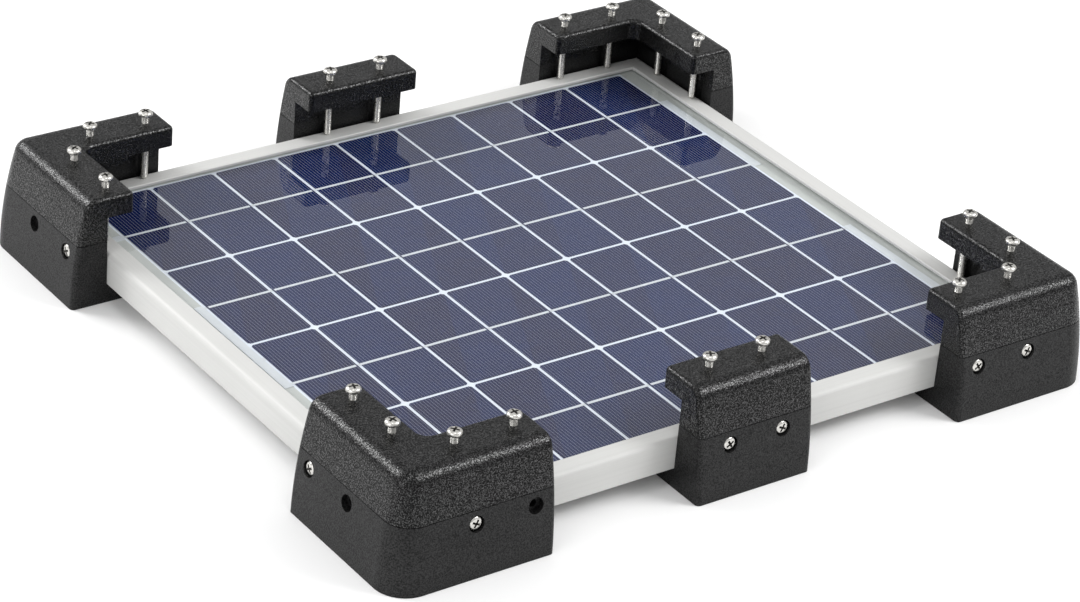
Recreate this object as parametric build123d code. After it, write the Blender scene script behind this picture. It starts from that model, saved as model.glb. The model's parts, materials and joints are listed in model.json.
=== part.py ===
from build123d import *
import os

# Solar panel held by four corner brackets and two middle brackets.
# Millimetres. +Z up, origin on the ground under the middle of the panel, +X along the long edge.

# ---- driving dimensions -------------------------------------------------------------------

panel_length = 387.0
panel_width = 350.0
frame_height = 17.0
foot_thickness = 10.5

# frame rail section
rail_wall = 1.5
lip_width = 11.0
lip_thickness = 1.6
shoulder_radius = 2.5
lip_edge_radius = 0.6
web_width = 8.0
web_thickness = 1.2
chamber_wall = 1.2
flange_width = 16.0
flange_thickness = 1.5
flange_hole_radius = 3.0
flange_hole_x = 80.0
flange_hole_inset = 11.5

# corner keys, inside the chambers of the rails
key_play = 0.1
key_arm = 22.0

# laminate, from the top down
gasket_thickness = 0.5
glass_thickness = 3.2
encapsulant_thickness = 0.4
ribbon_thickness = 0.15
cell_thickness = 0.25
backsheet_thickness = 0.3
laminate_gap = 1.0

# cells
string_count = 4
cells_per_string = 9
cell_pitch_x = 38.6
cell_pitch_y = 82.46
cell_gap = 1.8
cell_chamfer = 1.2
ribbon_width = 1.7
bus_width = 5.0
bus_offset = 2.9
lead_width = 3.0
lead_offset = 7.9
lead_tail = 30.0

# junction box
box_length = 62.0
box_width = 54.0
box_height = 14.5
box_wall = 2.0
box_x = -132.0
box_corner_radius = 5.0
lid_thickness = 2.0
seal_width = 1.6
seal_height = 1.0
gland_radius = 6.0
gland_neck_radius = 4.5
gland_cap_radius = 5.3
gland_length = 14.0
gland_nut_length = 4.0
gland_rim = 2.0
gland_bore_radius = 3.2
lid_rounding = 1.0
terminal_size = (12.0, 10.0, 6.0)
terminal_hole_radius = 1.6
terminal_offset = -14.0
diode_radius = 2.7
diode_length = 9.0
diode_wire_radius = 0.6
diode_wire_length = 17.0

# brackets: distances are outward from the frame's outer edge
bracket_height = 60.5
seam_height = 35.5
wall_inner = 0.4
foot_out = 20.5
waist_out = 17.9
crown_out = 11.5
jaw_reach = 15.0
jaw_thickness = 11.5
crown_radius = 8.0
edge_radius = 2.5
seam_half_width = 0.2
seam_depth = 0.7
corner_axis = 4.2
reentrant_radius = 6.0
corner_arm = 69.5
middle_half = 34.5
front_middle_x = -5.8
rear_middle_x = -5.0

# screws
shank_radius = 2.0
head_radius = 3.8
head_height = 2.6
head_round = 1.7
tip_chamfer = 0.4
recess_width = 1.0
recess_length = 4.4
recess_depth = 1.6
clamp_screw_length = 37.3
clamp_inset = 4.4
screw_near = 25.0
screw_far = 58.0
middle_screw = 16.0
clamp_bore_radius = 2.05
groove_radius = 2.8

# side screws and their counterbores, in the bases
side_height = 28.5
counterbore_radius = 4.2
counterbore_floor = 15.2
side_clearance_radius = 2.1
side_screw_length = 10.2

# tongue of the hood, in a socket of the base
tongue_inner = 4.6
tongue_outer = 9.4
tongue_depth = 14.5
socket_play = 0.1
socket_floor = 0.5
tongue_end_margin = 4.0
tongue_bore_radius = 2.02

# ---- worked-out places --------------------------------------------------------------------

half_length = panel_length / 2
half_width = panel_width / 2
frame_bottom = foot_thickness
frame_top = frame_bottom + frame_height
lip_underside = frame_top - lip_thickness
glass_top = lip_underside - gasket_thickness
glass_bottom = glass_top - glass_thickness
front_ribbon_top = glass_bottom - encapsulant_thickness
cell_top = front_ribbon_top - ribbon_thickness
cell_bottom = cell_top - cell_thickness
rear_ribbon_bottom = cell_bottom - ribbon_thickness
backsheet_top = rear_ribbon_bottom - encapsulant_thickness
backsheet_bottom = backsheet_top - backsheet_thickness
slot_floor = backsheet_bottom - gasket_thickness
laminate_length = panel_length - 2 * (rail_wall + laminate_gap)
laminate_width = panel_width - 2 * (rail_wall + laminate_gap)
jaw_underside = bracket_height - jaw_thickness
chamber_height = slot_floor - web_thickness - frame_bottom - flange_thickness

closeness = 0.01

os.makedirs("parts", exist_ok=True)


def write(name, shape):
    export_step(shape, f"parts/{name}.step")


def block(low_x, low_y, low_z, high_x, high_y, high_z):
    size = (high_x - low_x, high_y - low_y, high_z - low_z)
    return Pos(low_x, low_y, low_z) * Box(*size, align=(Align.MIN, Align.MIN, Align.MIN))


def slab(length, width, low, high):
    centred = (Align.CENTER, Align.CENTER, Align.MIN)
    return Pos(0, 0, low) * Box(length, width, high - low, align=centred)


def flat_bar(low_x, low_y, width, height):
    """Rectangle with its lower left corner at a point."""
    return Pos(low_x, low_y) * Rectangle(width, height, align=(Align.MIN, Align.MIN))


# ---- frame --------------------------------------------------------------------------------


def rail_section():
    """Frame section: first coordinate inward from the outer face, second up from the rail's bottom."""
    slot = slot_floor - frame_bottom
    section = flat_bar(0, 0, rail_wall, frame_height)
    section += flat_bar(0, frame_height - lip_thickness, lip_width, lip_thickness)
    section += flat_bar(0, slot - web_thickness, web_width, web_thickness)
    section += flat_bar(web_width - chamber_wall, 0, chamber_wall, slot)
    section += flat_bar(0, 0, flange_width, flange_thickness)
    shoulder, lip_edge = section.vertices().sort_by(Axis.Y)[-2:].sort_by(Axis.X)
    section = fillet(lip_edge, lip_edge_radius)
    shoulder = section.vertices().sort_by(Axis.Y)[-2:].sort_by(Axis.X)[0]
    return fillet(shoulder, shoulder_radius)


def rail(length, width):
    """Rail along X on the -Y edge of a frame of this length and width, mitred at both ends."""
    start = Plane(origin=(-length / 2, -width / 2, frame_bottom), x_dir=(0, 1, 0), z_dir=(1, 0, 0))
    bar = extrude(start * rail_section(), length)
    reach = flange_width + 1
    x, y = length / 2, width / 2
    outline = Polyline((-x, -y), (x, -y), (x - reach, -y + reach), (-x + reach, -y + reach), close=True)
    mitre = Pos(0, 0, frame_bottom) * extrude(make_face(outline), frame_height)
    return bar & mitre


def flange_holes():
    hole = Cylinder(flange_hole_radius, 3 * flange_thickness)
    return [Pos(x, y, frame_bottom + flange_thickness / 2) * hole
            for x in (-flange_hole_x, flange_hole_x)
            for y in (-half_width + flange_hole_inset, half_width - flange_hole_inset)]


def make_frame():
    front = rail(panel_length, panel_width)
    side = Rot(0, 0, -90) * rail(panel_width, panel_length)
    for hole in flange_holes():
        front -= hole
    rear = Rot(0, 0, 180) * rail(panel_length, panel_width)
    for hole in flange_holes():
        rear -= hole
    write("frame_rail_front", front)
    write("frame_rail_rear", rear)
    write("frame_rail_left", side)
    write("frame_rail_right", Rot(0, 0, 180) * side)


def make_corner_keys():
    key_width = web_width - rail_wall - chamber_wall - 2 * key_play
    low = frame_bottom + flange_thickness
    high = low + chamber_height - key_play
    x = -half_length + rail_wall + key_play
    y = -half_width + rail_wall + key_play
    key = block(x, y, low, x + key_arm, y + key_width, high)
    key += block(x, y, low, x + key_width, y + key_arm, high)
    pair = [key, mirror(key, Plane.YZ)]
    write("corner_keys", Compound(pair + [mirror(k, Plane.XZ) for k in pair]))


# ---- laminate -----------------------------------------------------------------------------


def make_laminate_sheets():
    layers = {
        "front_glass": (glass_bottom, glass_top),
        "front_encapsulant": (front_ribbon_top, glass_bottom),
        "rear_encapsulant": (backsheet_top, rear_ribbon_bottom),
        "backsheet": (backsheet_bottom, backsheet_top),
    }
    for name, (low, high) in layers.items():
        write(name, slab(laminate_length, laminate_width, low, high))


def make_gasket():
    outer = slab(panel_length - 2 * rail_wall, panel_width - 2 * rail_wall, slot_floor, lip_underside)
    core = slab(laminate_length, laminate_width, backsheet_bottom, glass_top)
    window = slab(panel_length - 2 * web_width, panel_width - 2 * web_width, slot_floor, lip_underside)
    write("edge_gasket", outer - core - window)


def cell_x(column):
    return (column - (cells_per_string - 1) / 2) * cell_pitch_x


def string_y(row):
    return (row - (string_count - 1) / 2) * cell_pitch_y


def make_cells():
    length = cell_pitch_x - cell_gap
    width = cell_pitch_y - cell_gap
    outline = Rectangle(length, width)
    outline = chamfer(outline.vertices(), cell_chamfer)
    cell = extrude(outline, cell_thickness)
    for row in range(string_count):
        cells = [Pos(cell_x(c), string_y(row), cell_bottom) * cell for c in range(cells_per_string)]
        write(f"cell_string_{row + 1}", Compound(cells))


def ribbon(start, end, low, high):
    """Stretch of ribbon along X, on the centre line of a string."""
    return block(start, -ribbon_width / 2, low, end, ribbon_width / 2, high)


def string_ribbon(column):
    """Ribbon on top of one cell, stepping down in the gap and running under the next cell."""
    start = cell_x(column) - cell_pitch_x / 2 + cell_gap
    step = cell_x(column) + cell_pitch_x / 2
    end = cell_x(column + 1) + cell_pitch_x / 2 - cell_gap
    to_bus = bus_offset - bus_width / 2
    low = rear_ribbon_bottom
    top = front_ribbon_top
    if column == cells_per_string - 1:
        return ribbon(start, step + to_bus, cell_top, top)
    if column < 0:
        return ribbon(step - to_bus, end, low, cell_bottom)
    upper = ribbon(start, step + ribbon_thickness, cell_top, top)
    drop = ribbon(step - ribbon_thickness, step + ribbon_thickness, low, top)
    lower = ribbon(step - ribbon_thickness, end, low, cell_bottom)
    return upper + drop + lower


def make_tabbing_ribbons():
    """Alternate strings run in opposite directions, so that the cross ribbons can join them in series."""
    chain = [string_ribbon(c) for c in range(-1, cells_per_string)]
    ribbons = []
    for row in range(string_count):
        turn = 180 * (row % 2)
        ribbons += [Pos(0, string_y(row), 0) * Rot(0, 0, turn) * link for link in chain]
    write("tabbing_ribbons", Compound(ribbons))


def cross_ribbon(x, width, start, end):
    """Ribbon along Y between two heights of the string plan."""
    low, high = sorted((start, end))
    return block(x - width / 2, low, rear_ribbon_bottom, x + width / 2, high, front_ribbon_top)


def make_bus_ribbons():
    """Cross ribbons: two on the right, one on the left, and two leads that turn in to the junction box."""
    edge = cells_per_string * cell_pitch_x / 2
    half = bus_width / 2
    bars = []
    for first in (0, 2):
        low, high = string_y(first) - half, string_y(first + 1) + half
        bars.append(cross_ribbon(edge + bus_offset, bus_width, low, high))
    bars.append(cross_ribbon(-edge - bus_offset, bus_width, string_y(1) - half, string_y(2) + half))
    outer = -edge - lead_offset
    for row, side in ((0, -1), (string_count - 1, 1)):
        corner = string_y(row) + side * half
        inner_end = side * box_width / 4
        tail_y = sorted((inner_end, inner_end + side * lead_width))
        lead = cross_ribbon(outer, lead_width, corner, inner_end)
        lead += cross_ribbon(-edge - bus_offset, bus_width, corner, corner - side * bus_width)
        lead += block(outer, corner - max(side, 0) * bus_width, rear_ribbon_bottom,
                      -edge - bus_offset, corner + max(-side, 0) * bus_width, front_ribbon_top)
        lead += block(outer, tail_y[0], rear_ribbon_bottom, outer + lead_tail, tail_y[1], cell_bottom)
        bars.append(lead)
    write("bus_ribbons", Compound(bars))


# ---- junction box -------------------------------------------------------------------------


def box_outline(inset):
    """Outline of the junction box, moved in by inset."""
    length = box_length - 2 * inset
    width = box_width - 2 * inset
    return Pos(box_x, 0, 0) * RectangleRounded(length, width, box_corner_radius - inset)


def make_box_shell(floor, roof):
    """Box open at the bottom, with a seat for the seal, then the seal and the lid."""
    inside = box_outline(box_wall)
    rim = floor + lid_thickness
    shell = Pos(0, 0, rim) * extrude(box_outline(0), roof - rim)
    shell -= Pos(0, 0, rim) * extrude(inside, roof - rim - box_wall)
    seal = Pos(0, 0, rim) * extrude(box_outline(box_wall - seal_width / 2) - inside, seal_height)
    lid = Pos(0, 0, floor) * extrude(box_outline(0), lid_thickness)
    lid = fillet(lid.faces().sort_by(Axis.Z)[0].edges(), lid_rounding)
    return shell - seal, seal, lid


def make_gland(wall_face):
    """Gland along X: a neck in the wall, a hexagon and a rounded cap."""
    neck = extrude(wall_face * Circle(gland_neck_radius), box_wall)
    nut = extrude(wall_face.offset(box_wall) * RegularPolygon(gland_radius, 6), gland_nut_length)
    cap_start = wall_face.offset(box_wall + gland_nut_length)
    cap = extrude(cap_start * Circle(gland_cap_radius), gland_length - gland_nut_length)
    rim = cap.edges().filter_by(GeomType.CIRCLE).sort_by(Axis.X)[-1]
    gland = neck + nut + fillet(rim, gland_rim)
    return gland - extrude(wall_face * Circle(gland_bore_radius), gland_length + box_wall)


def make_terminals(ceiling):
    """Two clamps under the roof of the box, and the diode that joins them."""
    x = box_x + terminal_offset
    length, width, height = terminal_size
    clamps = []
    for y in (-box_width / 4, box_width / 4):
        clamp = Pos(x, y, 0) * slab(length, width, ceiling - height, ceiling)
        clamps.append(clamp - Pos(x, y, ceiling - height) * Cylinder(terminal_hole_radius, height))
    across = Plane(origin=(x, 0, ceiling - diode_radius), x_dir=(1, 0, 0), z_dir=(0, 1, 0))
    diode = extrude(across.offset(-diode_wire_length / 2) * Circle(diode_wire_radius), diode_wire_length)
    diode += extrude(across.offset(-diode_length / 2) * Circle(diode_radius), diode_length)
    return Compound(clamps), diode


def make_junction_box():
    roof = backsheet_bottom
    floor = roof - box_height
    shell, seal, lid = make_box_shell(floor, roof)
    axis_z = floor + lid_thickness + (box_height - lid_thickness) / 2
    side = box_x + box_length / 2
    wall_face = Plane(origin=(side - box_wall, 0, axis_z), x_dir=(0, 1, 0), z_dir=(1, 0, 0))
    shell -= extrude(wall_face * Circle(gland_neck_radius), box_wall)
    clamps, diode = make_terminals(roof - box_wall)
    write("junction_box_base", shell)
    write("junction_box_seal", seal)
    write("junction_box_lid", lid)
    write("cable_gland", make_gland(wall_face))
    write("terminal_clamps", clamps)
    write("bypass_diode", diode)


# ---- screws -------------------------------------------------------------------------------


def pan_screw(length):
    """Pan-head screw pointing down, with the underside of its head at the origin."""
    head = Pos(0, 0, head_height / 2) * Cylinder(head_radius, head_height)
    head = fillet(head.edges().filter_by(GeomType.CIRCLE).sort_by(Axis.Z)[-1], head_round)
    hanging = (Align.CENTER, Align.CENTER, Align.MAX)
    for turn in (0, 90):
        bar = Box(recess_length, recess_width, recess_depth, align=hanging)
        head -= Pos(0, 0, head_height) * Rot(0, 0, turn) * bar
    shank = Pos(0, 0, -length / 2) * Cylinder(shank_radius, length)
    shank = chamfer(shank.edges().filter_by(GeomType.CIRCLE).sort_by(Axis.Z)[0], tip_chamfer)
    return head + shank


# ---- brackets -----------------------------------------------------------------------------


def jaw_profile():
    """C-shaped section of a bracket: first coordinate outward from the frame's edge, second up."""
    top = bracket_height
    outer = ThreePointArc((foot_out, 0), (waist_out, top / 2), (crown_out, top))
    inside = Polyline(
        (crown_out, top),
        (-jaw_reach, top),
        (-jaw_reach, jaw_underside),
        (wall_inner, jaw_underside),
        (wall_inner, foot_thickness),
        (-jaw_reach, foot_thickness),
        (-jaw_reach, 0),
        (foot_out, 0),
    )
    profile = make_face(outer + inside)
    crown = profile.vertices().filter_by(lambda v: v.Y > top - closeness).sort_by(Axis.X)[-1]
    return fillet(crown, crown_radius)


def across_x(x):
    """Plane at this X, drawn on outward (+Y) and up."""
    return Plane(origin=(x, 0, 0), x_dir=(0, 1, 0), z_dir=(1, 0, 0))


def arm(start, end):
    """Bracket section run along X from start to end, on the +Y edge, with the frame's edge at Y = 0."""
    return extrude(across_x(start) * jaw_profile(), end - start)


def swap_xy(shape):
    return mirror(shape, Plane(origin=(0, 0, 0), z_dir=(1, -1, 0)))


def corner_body():
    """Corner bracket for the +X +Y corner, with the frame's outer corner at the origin."""
    x_arm = arm(-corner_arm, corner_axis)
    outside = flat_bar(corner_axis, 0, 2 * foot_out, 2 * bracket_height)
    wall = across_x(corner_axis) * (jaw_profile() & outside)
    turn = revolve(wall, Axis((corner_axis, corner_axis, 0), (0, 0, 1)), -90)
    body = x_arm + swap_xy(x_arm) + turn
    uprights = body.edges().filter_by(Axis.Z)
    inner = [e for e in uprights if lies_at(e, 0, -jaw_reach) and lies_at(e, 1, -jaw_reach)]
    return fillet(inner, reentrant_radius)


def corner_spots():
    """(x, y, outward direction) along both arms, one for each pair of clamp screw and side screw."""
    spots = {}
    for reach, along in (("near", screw_near), ("far", screw_far)):
        spots["long", reach] = (-along, 0, Vector(0, 1, 0))
        spots["short", reach] = (0, -along, Vector(1, 0, 0))
    return spots


def middle_spots():
    out = Vector(0, 1, 0)
    return {("long", "left"): (-middle_screw, 0, out), ("long", "right"): (middle_screw, 0, out)}


def drill(spot, radius, near, far, height):
    """Round cutter across a wall at this height, between two distances out from the frame's edge."""
    x, y, out = spot
    start = Plane(origin=Vector(x, y, height) + out * near, z_dir=out)
    return extrude(start * Circle(radius), far - near)


def upright(spot, inset, radius, low, high):
    x, y, out = spot
    centre = Vector(x, y, low) - out * inset
    return Pos(centre) * Cylinder(radius, high - low, align=(Align.CENTER, Align.CENTER, Align.MIN))


def corner_tongue(play, floor, top):
    low = tongue_inner - play
    high = tongue_outer + play
    end = -corner_arm + tongue_end_margin - play
    return block(end, low, floor, high, high, top) + block(low, end, floor, high, high, top)


def middle_tongue(play, floor, top):
    end = middle_half - tongue_end_margin + play
    return block(-end, tongue_inner - play, floor, end, tongue_outer + play, top)


def lies_at(edge, axis, place):
    """True for an edge that lies wholly in the plane where this axis (0, 1 or 2) has this value."""
    box = edge.bounding_box()
    return all(abs(tuple(corner)[axis] - place) < closeness for corner in (box.min, box.max))


def on_any(edge, planes):
    return any(lies_at(edge, axis, place) for axis, place in planes)


def round_edges(part, ends, low, high):
    """Round the arm ends, and the jaw's inner top rim where the part has one.

    ends lists the arms' end planes as (axis, place). Edges of the inner wall, of the jaw's underside
    and of the seam stay sharp.
    """
    flats = [(2, low), (2, foot_thickness), (2, jaw_underside), (0, wall_inner), (1, wall_inner)]
    if high < bracket_height:
        flats += [(2, high), (0, -jaw_reach), (1, -jaw_reach)]
    reach = [(0, -jaw_reach), (1, -jaw_reach)]
    chosen = []
    for edge in part.edges():
        at_end = on_any(edge, ends)
        if at_end and not on_any(edge, flats):
            chosen.append(edge)
        rim = lies_at(edge, 2, bracket_height) and edge.center().X <= middle_half
        inner_curve = edge.center().X < 0 and edge.geom_type == GeomType.CIRCLE
        if rim and not at_end and (inner_curve or on_any(edge, reach)):
            chosen.append(edge)
    return fillet(chosen, edge_radius)


def ease_seam(part):
    """Slanted cut round the outside of the seam, which leaves a fine groove between hood and base."""
    inner = [(0, wall_inner), (1, wall_inner)]
    rim = [e for e in part.edges() if lies_at(e, 2, seam_height) and not on_any(e, inner)]
    level = [f for f in part.faces().filter_by(Axis.Z) if abs(f.center().Z - seam_height) < closeness]
    return chamfer(rim, seam_depth, seam_half_width, reference=level[0])


def split(body, ends, tongue, spots):
    """Cut a whole bracket at the seam into its hood, with a tongue, and its base, with a socket."""
    size = 3 * corner_arm
    upper = slab(size, size, seam_height, bracket_height)
    hood = ease_seam(round_edges(body & upper, ends, seam_height, bracket_height))
    base = ease_seam(round_edges(body - upper, ends, 0, seam_height))
    hood += tongue(0, seam_height - tongue_depth, seam_height)
    base -= tongue(socket_play, seam_height - tongue_depth - socket_floor, seam_height)
    for spot in spots.values():
        groove = upright(spot, -wall_inner, groove_radius, foot_thickness, jaw_underside)
        hood -= upright(spot, clamp_inset, clamp_bore_radius, jaw_underside, bracket_height)
        hood -= groove & upper
        hood -= drill(spot, tongue_bore_radius, tongue_inner, tongue_outer, side_height)
        base -= groove - upper
        base -= drill(spot, counterbore_radius, counterbore_floor, 2 * foot_out, side_height)
        base -= drill(spot, side_clearance_radius, tongue_outer, counterbore_floor, side_height)
    return hood, base


def side_screw(spot):
    x, y, out = spot
    seat = Plane(origin=Vector(x, y, side_height) + out * counterbore_floor, z_dir=out)
    return seat * pan_screw(side_screw_length)


def clamp_screw(spot):
    x, y, out = spot
    seat = Vector(x, y, frame_top + clamp_screw_length) - out * clamp_inset
    return Pos(seat) * pan_screw(clamp_screw_length)


def place_bracket(name, shape):
    """Set a shape made at the +X +Y corner, or on the +Y edge, at the bracket's own place."""
    if name == "rear_middle":
        return Pos(rear_middle_x, half_width, 0) * shape
    if name == "front_middle":
        return mirror(Pos(front_middle_x, half_width, 0) * shape, Plane.XZ)
    shape = Pos(half_length, half_width, 0) * shape
    if name == "rear_left":
        return mirror(shape, Plane.YZ)
    if name == "front_right":
        return mirror(shape, Plane.XZ)
    if name == "front_left":
        return Rot(0, 0, 180) * shape
    return shape


def make_brackets():
    corner_ends = [(0, -corner_arm), (1, -corner_arm)]
    middle_ends = [(0, -middle_half), (0, middle_half)]
    corner = split(corner_body(), corner_ends, corner_tongue, corner_spots())
    middle = split(arm(-middle_half, middle_half), middle_ends, middle_tongue, middle_spots())
    empty_holes = {
        "front_left": [("long", "far"), ("short", "near")],
        "rear_left": [("short", "near")],
    }
    for name in ("rear_right", "rear_left", "front_right", "front_left", "rear_middle", "front_middle"):
        is_middle = name.endswith("middle")
        hood, base = middle if is_middle else corner
        spots = middle_spots() if is_middle else corner_spots()
        write(f"hood_{name}", place_bracket(name, hood))
        write(f"base_{name}", place_bracket(name, base))
        filled = [spot for key, spot in spots.items() if key not in empty_holes.get(name, [])]
        side_screws = [place_bracket(name, side_screw(spot)) for spot in filled]
        write(f"side_screws_{name}", Compound(side_screws))
        for (side, end), spot in spots.items():
            label = end if is_middle else f"{side}_{end}"
            write(f"clamp_screw_{name}_{label}", place_bracket(name, clamp_screw(spot)))


make_frame()
make_corner_keys()
make_laminate_sheets()
make_gasket()
make_cells()
make_tabbing_ribbons()
make_bus_ribbons()
make_junction_box()
make_brackets()
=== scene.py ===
import json
import math

import bmesh
import bpy
from mathutils import Matrix, Vector


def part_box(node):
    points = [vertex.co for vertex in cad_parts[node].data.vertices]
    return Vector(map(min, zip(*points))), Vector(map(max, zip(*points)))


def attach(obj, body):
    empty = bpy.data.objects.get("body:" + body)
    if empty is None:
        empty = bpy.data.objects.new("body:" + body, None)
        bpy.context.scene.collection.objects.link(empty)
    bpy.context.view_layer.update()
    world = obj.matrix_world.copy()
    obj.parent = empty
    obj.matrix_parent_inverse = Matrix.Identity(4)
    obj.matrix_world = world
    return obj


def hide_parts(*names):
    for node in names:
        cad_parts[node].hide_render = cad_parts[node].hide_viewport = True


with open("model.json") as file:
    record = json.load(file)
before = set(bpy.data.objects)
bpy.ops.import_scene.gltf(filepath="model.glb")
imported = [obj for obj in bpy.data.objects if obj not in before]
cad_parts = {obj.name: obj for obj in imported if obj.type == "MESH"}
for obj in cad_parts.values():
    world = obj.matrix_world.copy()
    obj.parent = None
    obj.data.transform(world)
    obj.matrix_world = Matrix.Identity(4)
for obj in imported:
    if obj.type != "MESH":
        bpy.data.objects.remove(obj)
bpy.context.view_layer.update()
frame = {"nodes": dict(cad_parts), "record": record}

# All lengths are in metres. +Z is up, +X runs along the panel's long edge, and the origin is on the
# ground under the middle of the panel.

MM = 0.001
MICROMETRES_IN_METRE = 1e6

# ---- view and light -------------------------------------------------------------------------

VIEW_AZIMUTH = math.radians(-37.521)
VIEW_ELEVATION = math.radians(29.355)
VIEW_ROLL = math.radians(5.104)
VIEW_DISTANCE = 1.8545
VIEW_TARGET = Vector((-0.0189, -0.0304, 0.024))
VIEW_LENS = 121.4
SENSOR_WIDTH = 36.0
CLIP_START = 0.05
CLIP_END = 60.0

FLOOR_SIZE = 24.0
FLOOR_DROP = 0.2 * MM

# The sky's strength grows from the horizon until the upward part of its direction is SKY_FULL_AT.
HORIZON_LEVEL = 0.36
SKY_LEVEL = 0.77
SKY_FULL_AT = 0.5

# Name, azimuth and elevation in degrees, size in metres, power in watts.
SOFTBOXES = (
    ("right_key", 47.0, 42.0, 1.0, 34.0),
    ("rear_key", -145.0, 32.0, 1.0, 36.0),
    ("left_fill", -75.0, 22.0, 1.6, 15.0),
    ("top_light", -30.0, 74.0, 0.7, 6.0),
)
SOFTBOX_DISTANCE = 2.6

# ---- screw shapes ---------------------------------------------------------------------------

HEAD_RADIUS = 3.8 * MM
HEAD_HEIGHT = 2.6 * MM
# The rounded foot of the head, as (how far inside its radius, height).
HEAD_FOOT = ((0.25 * MM, 0.0), (0.06 * MM, 0.1 * MM), (0.0, 0.35 * MM))
# The crown rounds in by CROWN_INSET from CROWN_START up to CROWN_DROP below the top.
CROWN_START = 0.9 * MM
CROWN_INSET = 1.7 * MM
CROWN_DROP = 0.12 * MM
CROWN_STEPS = 9
# The last ring of the crown, as (radius, how far below the top).
CROWN_TOP = (1.0 * MM, 0.01 * MM)
HEAD_SMOOTH_ANGLE = 50
ROUND_STEPS = 40

SHANK_RADIUS = 2.0 * MM
SHANK_IN_HEAD = 0.2 * MM
THREAD_PITCH = 0.7 * MM
THREAD_DEPTH = 0.20 * MM
THREAD_STEPS = 24
ROWS_PER_PITCH = 6
# A tooth is the part above 0 of TOOTH_SLOPE * ramp - TOOTH_GAP, cut off at 1.
TOOTH_SLOPE = 3.2
TOOTH_GAP = 0.2
PLAIN_NECK = 0.8 * MM
TIP_LENGTH = 0.8 * MM
# Rings of the tip, as (how far inside the neck's radius, height above the end).
TIP_RINGS = ((0.4 * MM, 0.1 * MM), (0.6 * MM, 0.0))
SHANK_SMOOTH_ANGLE = 80

RECESS_LENGTH = 4.8 * MM
RECESS_WIDTH = 1.15 * MM
RECESS_DEPTH = 1.7 * MM
# The recess floor's share of the length and width at the top.
RECESS_FLOOR_LENGTH = 0.42
RECESS_FLOOR_WIDTH = 0.75

# How far each screw is turned from the one before, in degrees.
CLAMP_TURN = 37.0
SIDE_TURN = 32.0

# ---- cells ----------------------------------------------------------------------------------

FINGER_PITCH = 1.79 * MM
# Half the size of the field inside which the film behind the cells is white.
WHITE_HALF_X = 174.3 * MM
WHITE_HALF_Y = 165.5 * MM

# ---- glass ----------------------------------------------------------------------------------

GLASS_CORNER = 3.0 * MM
GLASS_CHAMFER = 0.4 * MM
GLASS_CLEARANCE = 0.02 * MM
CORNER_STEPS = 8

# ---- plastics and rubbers -------------------------------------------------------------------

# Name, darkest and lightest colour, grain scale, grain depth, lowest and highest roughness.
FINE_BLACK = (
    "fine_black_plastic", (0.001, 0.001, 0.0011), (0.009, 0.009, 0.0094),
    1300.0, 0.12 * MM, 0.36, 0.50,
)
BOX_BLACK = (
    "box_plastic", (0.020, 0.020, 0.021), (0.030, 0.030, 0.031),
    2200.0, 0.08 * MM, 0.45, 0.62,
)
BLACK_RUBBER = (
    "black_rubber", (0.010, 0.010, 0.010), (0.016, 0.016, 0.016),
    1500.0, 0.05 * MM, 0.65, 0.8,
)
GREY_SILICONE = (
    "grey_silicone", (0.20, 0.20, 0.20), (0.26, 0.26, 0.26),
    1500.0, 0.05 * MM, 0.5, 0.65,
)

# ---- node trees -----------------------------------------------------------------------------


def node(tree, kind, inputs=None, **settings):
    """Adds a shader node. Its inputs are given as values, or as sockets to link from."""
    made = tree.nodes.new(kind)
    for key, value in settings.items():
        setattr(made, key, value)
    for key, value in (inputs or {}).items():
        if isinstance(value, bpy.types.NodeSocket):
            tree.links.new(value, made.inputs[key])
        else:
            made.inputs[key].default_value = value
    return made


def new_material(name):
    material = bpy.data.materials.new(name)
    material.use_nodes = True
    material.node_tree.nodes.clear()
    return material


def finish_material(material, shader):
    tree = material.node_tree
    node(tree, "ShaderNodeOutputMaterial", {"Surface": shader})
    return material


def place(tree, scale=(1, 1, 1)):
    """Object coordinates, in metres, multiplied by scale."""
    coordinates = node(tree, "ShaderNodeTexCoord").outputs["Object"]
    inputs = {"Vector": coordinates, "Scale": scale}
    return node(tree, "ShaderNodeMapping", inputs).outputs[0]


def noise(tree, vector, scale, detail=3.0, roughness=0.55):
    inputs = {"Vector": vector, "Scale": scale, "Detail": detail, "Roughness": roughness}
    return node(tree, "ShaderNodeTexNoise", inputs).outputs["Fac"]


def voronoi(tree, vector, scale, output="Distance", **settings):
    inputs = {"Vector": vector, "Scale": scale}
    return node(tree, "ShaderNodeTexVoronoi", inputs, **settings).outputs[output]


def maths(tree, operation, a, b=0.0):
    return node(tree, "ShaderNodeMath", {0: a, 1: b}, operation=operation).outputs[0]


def total(tree, first, *others):
    """The sum of the first value and of each (value, factor) after it."""
    for value, factor in others:
        first = maths(tree, "ADD", first, maths(tree, "MULTIPLY", value, factor))
    return first


def spread(tree, value, low, high, from_low=0.0, from_high=1.0):
    """Maps from_low to low and from_high to high, and stays between them."""
    inputs = {"Value": value, "From Min": from_low, "From Max": from_high}
    inputs |= {"To Min": low, "To Max": high}
    return node(tree, "ShaderNodeMapRange", inputs).outputs["Result"]


def two_colours(tree, factor, first, second):
    """The first colour where factor is 0 and the second where it is 1."""
    made = node(tree, "ShaderNodeMix", {"Factor": factor}, data_type="RGBA")
    for socket, value in (("A", first), ("B", second)):
        target = [s for s in made.inputs if s.name == socket and s.type == "RGBA"][0]
        if isinstance(value, bpy.types.NodeSocket):
            tree.links.new(value, target)
        else:
            target.default_value = (*value, 1.0)
    return [s for s in made.outputs if s.type == "RGBA"][0]


def bump(tree, height, distance, strength=1.0):
    inputs = {"Height": height, "Distance": distance, "Strength": strength}
    return node(tree, "ShaderNodeBump", inputs).outputs[0]


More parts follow.
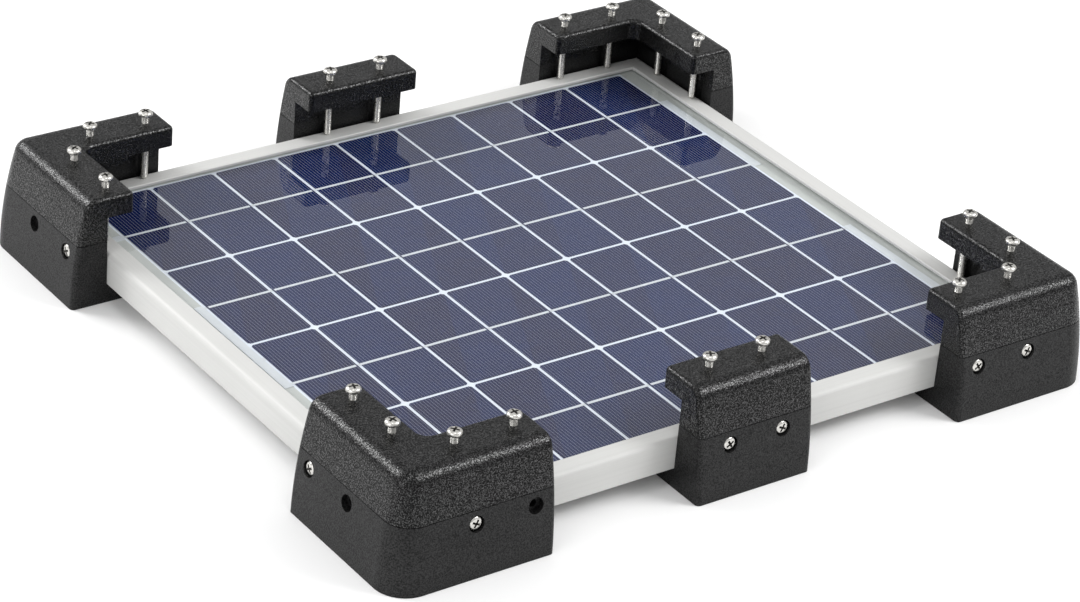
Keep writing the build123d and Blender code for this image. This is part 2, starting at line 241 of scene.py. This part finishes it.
def principled(tree, **inputs):
    """Inputs are named as on the node, with _ for each space."""
    named = {key.replace("_", " "): value for key, value in inputs.items()}
    return node(tree, "ShaderNodeBsdfPrincipled", named).outputs[0]


# ---- materials ------------------------------------------------------------------------------


def anodised_aluminium(name, along):
    """Satin anodised extrusion with faint die lines along one axis."""
    material = new_material(name)
    tree = material.node_tree
    across_lines, along_lines = 700.0, 3.0
    stretch = [along_lines if axis == along else across_lines for axis in "XYZ"]
    lines = noise(tree, place(tree, stretch), 1.0, detail=4.0)
    grain = noise(tree, place(tree), 5200.0, detail=2.0)
    clouds = noise(tree, place(tree), 22.0, detail=3.0)
    colour = two_colours(tree, clouds, (0.56, 0.56, 0.547), (0.62, 0.62, 0.607))
    line_share = spread(tree, lines, 0.0, 0.30, from_low=0.45, from_high=0.7)
    colour = two_colours(tree, line_share, colour, (0.50, 0.50, 0.49))
    rough = maths(tree, "ADD", spread(tree, lines, 0.56, 0.70), spread(tree, grain, -0.03, 0.03))
    normal = bump(tree, total(tree, lines, (grain, 0.5)), 0.02 * MM, strength=0.6)
    shader = principled(
        tree, Base_Color=colour, Metallic=0.22, Roughness=rough, Normal=normal,
        Specular_IOR_Level=0.35,
    )
    return finish_material(material, shader)


def pebbled_plastic():
    """Black moulded plastic with a glossy pebble grain."""
    material = new_material("pebbled_black_plastic")
    tree = material.node_tree
    place_3d = place(tree)
    wobble = noise(tree, place_3d, 420.0, detail=2.0)
    pebbles = voronoi(tree, place_3d, 1000.0, feature="SMOOTH_F1", distance="EUCLIDEAN")
    fine = noise(tree, place_3d, 1500.0, detail=3.0, roughness=0.6)
    height = total(tree, maths(tree, "SUBTRACT", 1.0, pebbles), (wobble, 0.5), (fine, 0.8))
    normal = bump(tree, height, 0.12 * MM)
    tops = spread(tree, fine, 0.0, 1.0, from_low=0.46, from_high=0.66)
    colour = two_colours(tree, tops, (0.001, 0.001, 0.0011), (0.010, 0.010, 0.0104))
    shine = spread(tree, tops, 0.12, 1.0)
    rough = spread(tree, tops, 0.34, 0.23)
    shader = principled(
        tree, Base_Color=colour, Roughness=rough, Normal=normal, Specular_IOR_Level=shine
    )
    return finish_material(material, shader)


def fine_plastic(name, dark, light, grain_scale, grain_depth, rough_low, rough_high):
    """Moulded plastic or rubber with a fine spark-eroded grain and faint flow marks."""
    material = new_material(name)
    tree = material.node_tree
    place_3d = place(tree)
    grain = noise(tree, place_3d, grain_scale, detail=4.0, roughness=0.65)
    flow = noise(tree, place(tree, (1, 1, 3.5)), 38.0, detail=3.0)
    tops = spread(tree, grain, 0.0, 1.0, from_low=0.40, from_high=0.62)
    speckle = total(tree, maths(tree, "MULTIPLY", tops, 0.7), (flow, 0.3))
    colour = two_colours(tree, speckle, dark, light)
    grain_rough = spread(tree, grain, rough_low, rough_high)
    rough = maths(tree, "ADD", grain_rough, spread(tree, flow, -0.05, 0.05))
    normal = bump(tree, grain, grain_depth)
    shine = spread(tree, speckle, 0.10, 0.52)
    shader = principled(
        tree, Base_Color=colour, Roughness=rough, Normal=normal, Specular_IOR_Level=shine
    )
    return finish_material(material, shader)


def bright_steel():
    """Zinc-plated steel with fine scratches."""
    material = new_material("zinc_plated_steel")
    tree = material.node_tree
    place_3d = place(tree)
    clouds = noise(tree, place_3d, 420.0, detail=3.0)
    scratches = noise(tree, place(tree, (1, 0.15, 1)), 3800.0, detail=3.0)
    colour = two_colours(tree, clouds, (0.56, 0.545, 0.51), (0.74, 0.73, 0.70))
    cloud_rough = spread(tree, clouds, 0.20, 0.32)
    rough = maths(tree, "ADD", cloud_rough, spread(tree, scratches, -0.03, 0.06))
    normal = bump(tree, scratches, 0.008 * MM, strength=0.7)
    shader = principled(tree, Base_Color=colour, Metallic=1.0, Roughness=rough, Normal=normal)
    return finish_material(material, shader)


def recess_painted_shade_steel():
    """The same plating in the driver recess, dulled, and painted dark to stand for the shade inside
    the recess.
    """
    material = new_material("recess_painted_shade_steel")
    tree = material.node_tree
    clouds = noise(tree, place(tree), 900.0, detail=3.0)
    # Painted shade: the recess is coloured as dark steel because it lies in shade.
    colour = two_colours(tree, clouds, (0.03, 0.029, 0.027), (0.11, 0.105, 0.095))
    rough = spread(tree, clouds, 0.4, 0.6)
    shader = principled(tree, Base_Color=colour, Metallic=0.8, Roughness=rough)
    return finish_material(material, shader)


def silicon_cell():
    """Blue silicon wafers, each with its own tint, faint crystal grains and thin silver fingers."""
    material = new_material("silicon_cell")
    tree = material.node_tree
    place_3d = place(tree)
    own = node(tree, "ShaderNodeNewGeometry").outputs["Random Per Island"]
    grains = voronoi(tree, place_3d, 190.0, output="Color", feature="F1")
    grain = node(tree, "ShaderNodeSeparateColor", {0: grains}).outputs[0]
    tint = total(tree, maths(tree, "MULTIPLY", own, 0.75), (grain, 0.25))
    colour = two_colours(tree, tint, (0.006, 0.007, 0.042), (0.002, 0.013, 0.078))
    x = node(tree, "ShaderNodeSeparateXYZ", {0: place_3d}).outputs[0]
    phase = maths(tree, "FRACT", maths(tree, "DIVIDE", x, FINGER_PITCH))
    off_line = maths(tree, "ABSOLUTE", maths(tree, "SUBTRACT", phase, 0.5))
    line = spread(tree, off_line, 1.0, 0.0, from_low=0.03, from_high=0.07)
    colour = two_colours(tree, line, colour, (0.26, 0.27, 0.33))
    rough = spread(tree, line, 0.55, 0.4)
    normal = bump(tree, line, 0.01 * MM, strength=0.5)
    shader = principled(
        tree, Base_Color=colour, Roughness=rough, Normal=normal, Specular_IOR_Level=0.0
    )
    return finish_material(material, shader)


def tinned_ribbon():
    """Solder-coated copper ribbon, slightly uneven."""
    material = new_material("tinned_ribbon")
    tree = material.node_tree
    waves = noise(tree, place(tree), 300.0, detail=3.0)
    colour = two_colours(tree, waves, (0.60, 0.63, 0.68), (0.72, 0.74, 0.77))
    rough = spread(tree, waves, 0.38, 0.55)
    normal = bump(tree, waves, 0.05 * MM, strength=0.6)
    shader = principled(tree, Base_Color=colour, Metallic=0.35, Roughness=rough, Normal=normal)
    return finish_material(material, shader)


def film_mottle(tree):
    return noise(tree, place(tree), 700.0, detail=4.0)


def finish_film(material, colour, mottle):
    tree = material.node_tree
    normal = bump(tree, mottle, 0.03 * MM, strength=0.5)
    rough = spread(tree, mottle, 0.45, 0.6)
    shader = principled(tree, Base_Color=colour, Roughness=rough, Normal=normal)
    return finish_material(material, shader)


def backsheet_film():
    """White polymer sheet with a faint mottle."""
    material = new_material("backsheet_film")
    tree = material.node_tree
    mottle = film_mottle(tree)
    colour = two_colours(tree, mottle, (0.78, 0.78, 0.79), (0.84, 0.84, 0.85))
    return finish_film(material, colour, mottle)


def rear_film():
    """White film that shows between the cells, greyer in the margin outside them."""
    material = new_material("rear_film")
    tree = material.node_tree
    mottle = film_mottle(tree)
    stains = noise(tree, place(tree), 60.0, detail=3.0)
    white = two_colours(tree, mottle, (0.68, 0.72, 0.81), (0.74, 0.78, 0.86))
    grey = two_colours(tree, stains, (0.44, 0.46, 0.46), (0.54, 0.55, 0.53))
    split = node(tree, "ShaderNodeSeparateXYZ", {0: place(tree)})
    past_x = maths(tree, "GREATER_THAN", maths(tree, "ABSOLUTE", split.outputs[0]), WHITE_HALF_X)
    past_y = maths(tree, "GREATER_THAN", maths(tree, "ABSOLUTE", split.outputs[1]), WHITE_HALF_Y)
    colour = two_colours(tree, maths(tree, "MAXIMUM", past_x, past_y), white, grey)
    return finish_film(material, colour, mottle)


def clear_glass():
    """Low-iron cover glass. Rays from lamps and from matt surfaces go straight through it."""
    material = new_material("cover_glass")
    tree = material.node_tree
    smudges = noise(tree, place(tree), 16.0, detail=4.0)
    rough = spread(tree, smudges, 0.012, 0.03)
    tint = (0.965, 0.985, 0.975, 1.0)
    shader = principled(tree, Base_Color=tint, Roughness=rough, IOR=1.5, Transmission_Weight=1.0)
    clear = node(tree, "ShaderNodeBsdfTransparent", {"Color": (0.93, 0.945, 0.94, 1.0)}).outputs[0]
    path = node(tree, "ShaderNodeLightPath")
    for ray in ("Is Diffuse Ray", "Is Shadow Ray"):
        inputs = {0: path.outputs[ray], 1: shader, 2: clear}
        shader = node(tree, "ShaderNodeMixShader", inputs).outputs[0]
    return finish_material(material, shader)


def open_face():
    """The side of the glass that is bonded to the cells, where light isn't bent again."""
    material = new_material("bonded_face")
    clear = node(material.node_tree, "ShaderNodeBsdfTransparent").outputs[0]
    return finish_material(material, clear)


def brass():
    material = new_material("brass")
    tree = material.node_tree
    clouds = noise(tree, place(tree), 500.0)
    colour = two_colours(tree, clouds, (0.62, 0.45, 0.20), (0.75, 0.58, 0.30))
    rough = spread(tree, clouds, 0.25, 0.4)
    shader = principled(tree, Base_Color=colour, Metallic=1.0, Roughness=rough)
    return finish_material(material, shader)


def pale_floor():
    material = new_material("pale_floor")
    tree = material.node_tree
    clouds = noise(tree, place(tree), 1.2, detail=2.0)
    colour = two_colours(tree, clouds, (0.925, 0.925, 0.925), (0.935, 0.935, 0.935))
    shader = principled(tree, Base_Color=colour, Roughness=0.75, Specular_IOR_Level=0.2)
    return finish_material(material, shader)


def paint(material, *names):
    """Gives CAD nodes a material in every slot."""
    for name in names:
        cad_node = frame["nodes"][name]
        for slot in cad_node.material_slots:
            slot.material = material
        if not cad_node.material_slots:
            cad_node.data.materials.append(material)


# ---- meshes ---------------------------------------------------------------------------------


def new_object(name, data):
    made = bpy.data.objects.new(name, data)
    bpy.context.scene.collection.objects.link(made)
    return made


def mesh_object(name, bm, materials, smooth_angle=None):
    """Makes an object of a bmesh, shaded smooth across edges of less than smooth_angle degrees."""
    bmesh.ops.recalc_face_normals(bm, faces=bm.faces)
    if smooth_angle is not None:
        limit = math.radians(smooth_angle)
        for face in bm.faces:
            face.smooth = True
        for edge in bm.edges:
            edge.smooth = len(edge.link_faces) == 2 and edge.calc_face_angle() < limit
    mesh = bpy.data.meshes.new(name)
    bm.to_mesh(mesh)
    bm.free()
    for material in materials:
        mesh.materials.append(material)
    return new_object(name, mesh)


def stacked_rings(bm, rings):
    """Skins closed rings of equal length, caps both ends and returns the first ring's cap."""
    for lower, upper in zip(rings, rings[1:]):
        count = len(lower)
        for i in range(count):
            j = (i + 1) % count
            bm.faces.new((lower[i], lower[j], upper[j], upper[i]))
    first_cap = bm.faces.new(rings[0])
    bm.faces.new(rings[-1])
    return first_cap


def circle(bm, radius, height, steps):
    """A ring of vertices. The radius may be a number or a function of the angle."""
    ring = []
    for i in range(steps):
        angle = 2 * math.pi * i / steps
        r = radius(angle) if callable(radius) else radius
        ring.append(bm.verts.new((r * math.cos(angle), r * math.sin(angle), height)))
    return ring


def head_profile():
    """(radius, height) up the side of a pan head and over its crown."""
    points = [(HEAD_RADIUS - inside, height) for inside, height in HEAD_FOOT]
    crown_height = HEAD_HEIGHT - CROWN_DROP - CROWN_START
    for i in range(CROWN_STEPS + 1):
        angle = math.pi / 2 * i / CROWN_STEPS
        radius = HEAD_RADIUS - CROWN_INSET * (1 - math.cos(angle))
        points.append((radius, CROWN_START + crown_height * math.sin(angle)))
    top_radius, below_top = CROWN_TOP
    points.append((top_radius, HEAD_HEIGHT - below_top))
    return points


def screw_head():
    bm = bmesh.new()
    profile = head_profile()
    stacked_rings(bm, [circle(bm, radius, height, ROUND_STEPS) for radius, height in profile])
    return bm


def recess_cutter():
    """Bar that tapers below the top of the head and goes straight up above it.

    Its faces use the second material, the steel with painted shade, so the recess that it cuts does
    too.
    """
    bm = bmesh.new()
    rings = []
    floor = (-RECESS_DEPTH, RECESS_FLOOR_LENGTH, RECESS_FLOOR_WIDTH)
    for height, length_share, width_share in (floor, (0.0, 1.0, 1.0), (RECESS_DEPTH, 1.0, 1.0)):
        half_x = RECESS_LENGTH / 2 * length_share
        half_y = RECESS_WIDTH / 2 * width_share
        z = HEAD_HEIGHT + height
        corners = ((-half_x, -half_y), (half_x, -half_y), (half_x, half_y), (-half_x, half_y))
        rings.append([bm.verts.new((x, y, z)) for x, y in corners])
    stacked_rings(bm, rings)
    for face in bm.faces:
        face.material_index = 1
    return bm


def thread_radius(height, depth):
    """The radius of a helical thread at one height, as a function of the angle."""

    def radius(angle):
        phase = (height / THREAD_PITCH - angle / (2 * math.pi)) % 1.0
        ramp = abs(2 * phase - 1)
        tooth = min(1.0, max(0.0, TOOTH_SLOPE * ramp - TOOTH_GAP))
        return SHANK_RADIUS - depth * (1 - tooth)

    return radius


def threaded_shank(length):
    """Shank down from the head. Its thread fades in at the neck and out at the tip."""
    bm = bmesh.new()
    start = -PLAIN_NECK
    end = -length + TIP_LENGTH
    rows = round((start - end) / THREAD_PITCH * ROWS_PER_PITCH)
    neck = SHANK_RADIUS - THREAD_DEPTH / 2
    levels = [(neck, SHANK_IN_HEAD), (neck, start)]
    for row in range(1, rows):
        height = start + (end - start) * row / rows
        fade = min(1.0, min(row, rows - row) / ROWS_PER_PITCH)
        levels.append((thread_radius(height, THREAD_DEPTH * fade), height))
    levels.append((neck, end))
    levels += [(neck - inside, -length + height) for inside, height in TIP_RINGS]
    stacked_rings(bm, [circle(bm, radius, height, THREAD_STEPS) for radius, height in levels])
    return bm


def boolean(target, other, operation):
    """Joins other to target or cuts it away, and removes it."""
    modifier = target.modifiers.new("cut", "BOOLEAN")
    modifier.object = other
    modifier.operation = operation
    modifier.solver = "EXACT"
    evaluated = target.evaluated_get(bpy.context.evaluated_depsgraph_get())
    result = bpy.data.meshes.new_from_object(evaluated)
    target.modifiers.clear()
    target.data = result
    bpy.data.objects.remove(other)


def cross_recess_screw(name, length, materials):
    """Mesh of a pan-head screw. Its axis is Z, and the underside of its head is at the origin."""
    screw = mesh_object(name, screw_head(), materials, HEAD_SMOOTH_ANGLE)
    for turn in (0, 90):
        cutter = mesh_object("cutter", recess_cutter(), materials)
        cutter.data.transform(Matrix.Rotation(math.radians(turn), 4, "Z"))
        boolean(screw, cutter, "DIFFERENCE")
    shank = mesh_object("shank", threaded_shank(length), materials, SHANK_SMOOTH_ANGLE)
    boolean(screw, shank, "UNION")
    mesh = screw.data
    mesh.name = name
    bpy.data.objects.remove(screw)
    return mesh


def rounded_outline(half_x, half_y, radius, inset):
    """Points round a rectangle with rounded corners, moved in by inset."""
    points = []
    for quarter, (sign_x, sign_y) in enumerate(((1, 1), (-1, 1), (-1, -1), (1, -1))):
        for i in range(CORNER_STEPS + 1):
            angle = math.pi / 2 * (quarter + i / CORNER_STEPS)
            x = sign_x * (half_x - radius) + (radius - inset) * math.cos(angle)
            y = sign_y * (half_y - radius) + (radius - inset) * math.sin(angle)
            points.append((x, y))
    return points


def solid_boxes(name):
    """The box of each solid in a CAD node. Vertices at the same micrometre count as joined."""
    mesh = frame["nodes"][name].data
    key = [tuple(round(c * MICROMETRES_IN_METRE) for c in v.co) for v in mesh.vertices]
    leader = {k: k for k in key}

    def find(k):
        while leader[k] != k:
            leader[k] = leader[leader[k]]
            k = leader[k]
        return k

    for polygon in mesh.polygons:
        first = find(key[polygon.vertices[0]])
        for index in polygon.vertices[1:]:
            leader[find(key[index])] = first
    groups = {}
    for index, k in enumerate(key):
        groups.setdefault(find(k), []).append(mesh.vertices[index].co)
    boxes = []
    for points in groups.values():
        low = Vector([min(p[i] for p in points) for i in range(3)])
        high = Vector([max(p[i] for p in points) for i in range(3)])
        boxes.append((low, high))
    return sorted(boxes, key=lambda box: tuple(box[0]))


# ---- pieces ---------------------------------------------------------------------------------


def nodes_starting(*starts):
    return sorted(n for n in frame["nodes"] if n.startswith(starts))


def make_cover_glass():
    """One clear piece from the ribbons to the top of the glass, so that light is bent only once."""
    _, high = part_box("front_glass")
    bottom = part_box("tabbing_ribbons")[1].z + GLASS_CLEARANCE
    bm = bmesh.new()
    rings = []
    levels = ((bottom, GLASS_CHAMFER), (bottom + GLASS_CHAMFER, 0.0),
              (high.z - GLASS_CHAMFER, 0.0), (high.z, GLASS_CHAMFER))
    for height, inset in levels:
        outline = rounded_outline(high.x, high.y, GLASS_CORNER, inset)
        rings.append([bm.verts.new((x, y, height)) for x, y in outline])
    bonded_face = stacked_rings(bm, rings)
    bonded_face.material_index = 1
    glass = mesh_object("cover_glass", bm, [clear_glass(), open_face()])
    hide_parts("front_glass", "front_encapsulant")
    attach(glass, "panel")


def make_clamp_screws(materials):
    """A screw for each clamp screw node. Screws of the same length share one mesh."""
    shared = {}
    for index, name in enumerate(nodes_starting("clamp_screw_")):
        low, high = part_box(name)
        length = round(high.z - low.z - HEAD_HEIGHT, 6)
        if length not in shared:
            shared[length] = cross_recess_screw("clamp_screw_mesh", length, materials)
        short = name.removeprefix("clamp_")
        screw = new_object("steel_" + short, shared[length])
        middle = (low + high) / 2
        seat = Vector((middle.x, middle.y, high.z - HEAD_HEIGHT))
        turn = Matrix.Rotation(math.radians(CLAMP_TURN * index), 4, "Z")
        screw.matrix_world = Matrix.Translation(seat) @ turn
        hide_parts(name)
        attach(screw, short)


def side_screw_place(low, high):
    """Where a side screw stands, with Z pointing away from the panel, and its whole length."""
    size = high - low
    middle = (low + high) / 2
    axis = 0 if size.x > size.y else 1
    outward = Vector((0, 0, 0))
    outward[axis] = 1.0 if middle[axis] > 0 else -1.0
    seat = middle.copy()
    seat[axis] = (high[axis] if outward[axis] > 0 else low[axis]) - outward[axis] * HEAD_HEIGHT
    facing = outward.to_track_quat("Z", "Y").to_matrix().to_4x4()
    return Matrix.Translation(seat) @ facing, size[axis]


def make_side_screws(materials):
    """One object for each bracket's side screws, made of copies of one screw."""
    bodies = frame["record"]["behaviour"]["bodies"]
    shared = None
    for name in nodes_starting("side_screws_"):
        bm = bmesh.new()
        for index, (low, high) in enumerate(solid_boxes(name)):
            stand, whole = side_screw_place(low, high)
            if shared is None:
                shared = cross_recess_screw("side_screw_mesh", whole - HEAD_HEIGHT, materials)
            turn = Matrix.Rotation(math.radians(SIDE_TURN * (index + 1)), 4, "Z")
            copy = shared.copy()
            copy.transform(stand @ turn)
            bm.from_mesh(copy)
            bpy.data.meshes.remove(copy)
        mesh = bpy.data.meshes.new("steel_" + name)
        bm.to_mesh(mesh)
        bm.free()
        for material in materials:
            mesh.materials.append(material)
        group = new_object("steel_" + name, mesh)
        body = next(body for body, members in bodies.items() if name in members)
        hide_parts(name)
        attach(group, body)


def finish_cad_nodes():
    along_x = anodised_aluminium("anodised_aluminium_x", "X")
    along_y = anodised_aluminium("anodised_aluminium_y", "Y")
    box_nodes = ("junction_box_base", "junction_box_lid", "cable_gland", "bypass_diode")
    paint(along_x, "frame_rail_front", "frame_rail_rear")
    paint(along_y, "frame_rail_left", "frame_rail_right", "corner_keys")
    paint(fine_plastic(*BLACK_RUBBER), "edge_gasket")
    paint(rear_film(), "rear_encapsulant")
    paint(backsheet_film(), "backsheet")
    paint(silicon_cell(), *nodes_starting("cell_string_"))
    paint(tinned_ribbon(), "tabbing_ribbons", "bus_ribbons")
    paint(fine_plastic(*BOX_BLACK), *box_nodes)
    paint(fine_plastic(*GREY_SILICONE), "junction_box_seal")
    paint(brass(), "terminal_clamps")
    paint(pebbled_plastic(), *nodes_starting("hood_"))
    paint(fine_plastic(*FINE_BLACK), *nodes_starting("base_"))


# ---- studio ---------------------------------------------------------------------------------


def make_floor():
    bm = bmesh.new()
    half = FLOOR_SIZE / 2
    corners = ((-half, -half), (half, -half), (half, half), (-half, half))
    bm.faces.new([bm.verts.new((x, y, -FLOOR_DROP)) for x, y in corners])
    floor = mesh_object("floor", bm, [pale_floor()])


def make_world():
    """White surroundings, dimmer towards the horizon and below it."""
    world = bpy.data.worlds.new("studio")
    bpy.context.scene.world = world
    world.use_nodes = True
    tree = world.node_tree
    tree.nodes.clear()
    towards = node(tree, "ShaderNodeTexCoord").outputs["Generated"]
    up = node(tree, "ShaderNodeSeparateXYZ", {0: towards}).outputs[2]
    level = spread(tree, up, HORIZON_LEVEL, SKY_LEVEL, from_high=SKY_FULL_AT)
    light = node(tree, "ShaderNodeBackground", {"Color": (1.0, 1.0, 1.0, 1.0), "Strength": level})
    node(tree, "ShaderNodeOutputWorld", {"Surface": light.outputs[0]})


def direction(azimuth, elevation):
    """Unit vector at an azimuth, from -Y towards +X, and an elevation, both in radians."""
    flat = math.cos(elevation)
    return Vector((math.sin(azimuth) * flat, -math.cos(azimuth) * flat, math.sin(elevation)))


def make_softbox(name, azimuth, elevation, size, power):
    """Square area light that faces the panel."""
    data = bpy.data.lights.new(name, "AREA")
    data.size = size
    data.energy = power
    lamp = new_object(name, data)
    back = direction(math.radians(azimuth), math.radians(elevation))
    lamp.location = back * SOFTBOX_DISTANCE
    lamp.rotation_mode = "QUATERNION"
    lamp.rotation_quaternion = back.to_track_quat("Z", "Y")


def make_camera():
    """Camera that looks at VIEW_TARGET from the photograph's angle, rolled as the photograph is."""
    data = bpy.data.cameras.new("camera")
    data.lens = VIEW_LENS
    data.sensor_width = SENSOR_WIDTH
    data.clip_start = CLIP_START
    data.clip_end = CLIP_END
    camera = new_object("camera", data)
    back = direction(VIEW_AZIMUTH, VIEW_ELEVATION)
    right = Vector((0, 0, 1)).cross(back).normalized()
    up = back.cross(right)
    rolled_right = right * math.cos(VIEW_ROLL) + up * math.sin(VIEW_ROLL)
    rolled_up = up * math.cos(VIEW_ROLL) - right * math.sin(VIEW_ROLL)
    turn = Matrix((rolled_right, rolled_up, back)).transposed().to_4x4()
    camera.matrix_world = Matrix.Translation(VIEW_TARGET + back * VIEW_DISTANCE) @ turn
    bpy.context.scene.camera = camera


def make_studio():
    make_floor()
    make_world()
    for softbox in SOFTBOXES:
        make_softbox(*softbox)
    make_camera()
    bpy.context.scene.view_settings.view_transform = "Standard"


# The second steel paints shade into the driver recesses.
steels = [bright_steel(), recess_painted_shade_steel()]
finish_cad_nodes()
make_cover_glass()
make_clamp_screws(steels)
make_side_screws(steels)
make_studio()
